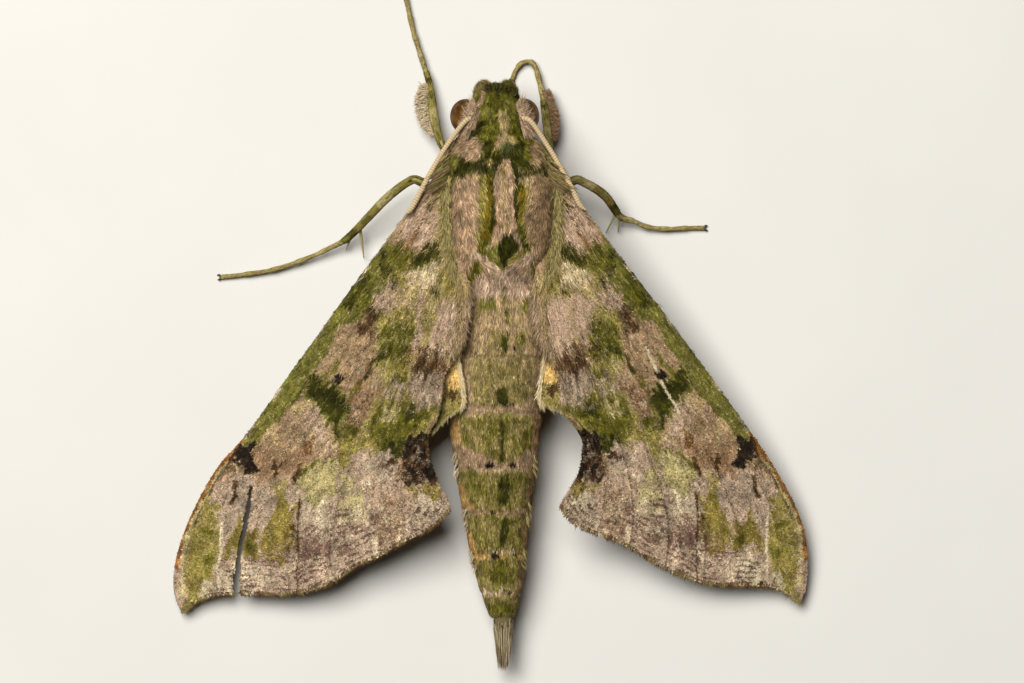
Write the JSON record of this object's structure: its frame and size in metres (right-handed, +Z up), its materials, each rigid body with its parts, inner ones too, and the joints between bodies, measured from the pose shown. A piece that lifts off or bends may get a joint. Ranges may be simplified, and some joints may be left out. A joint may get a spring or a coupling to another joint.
{
  "type": "xylophanes zurcheri hawk moth",
  "caption": "Life-size hawk moth resting on six legs, wings spread and sloping to the floor, mottled green and pink; a still model of the whole animal.",
  "frame": {"origin": "the middle of the animal's bounding box in plan, on the floor that its feet rest on", "axes": "+Z up, +Y towards the head along the body, +X to the animal's right"},
  "size_m": [0.0536, 0.0584, 0.0113],
  "materials": {
    "body_scales": "dense soft scales, olive green and pinkish buff",
    "tail_scales": "long straight greyish buff scales",
    "eye": "smooth dark amber globe",
    "antenna": "cream, finely ringed",
    "wing_scales": "matt scales, mottled olive green, pink buff and dark brown",
    "hindwing_scales": "matt scales, dark brown with a yellow patch at the inner corner",
    "leg_scales": "matt scales, olive green and pinkish"
  },
  "bodies": {
    "root": {"head": "body_scales", "thorax": "body_scales", "abdomen": "body_scales", "tail_tuft": "tail_scales", "palp_left": "body_scales", "palp_right": "body_scales", "eye_left": "eye", "eye_right": "eye", "antenna_left": "antenna", "antenna_right": "antenna", "forewing_left": "wing_scales", "forewing_right": "wing_scales", "hindwing_left": "hindwing_scales", "hindwing_right": "hindwing_scales", "foreleg_left": "leg_scales", "foreleg_right": "leg_scales", "midleg_left": "leg_scales", "midleg_right": "leg_scales", "hindleg_left": "leg_scales", "hindleg_right": "leg_scales"}
  },
  "joints": []
}
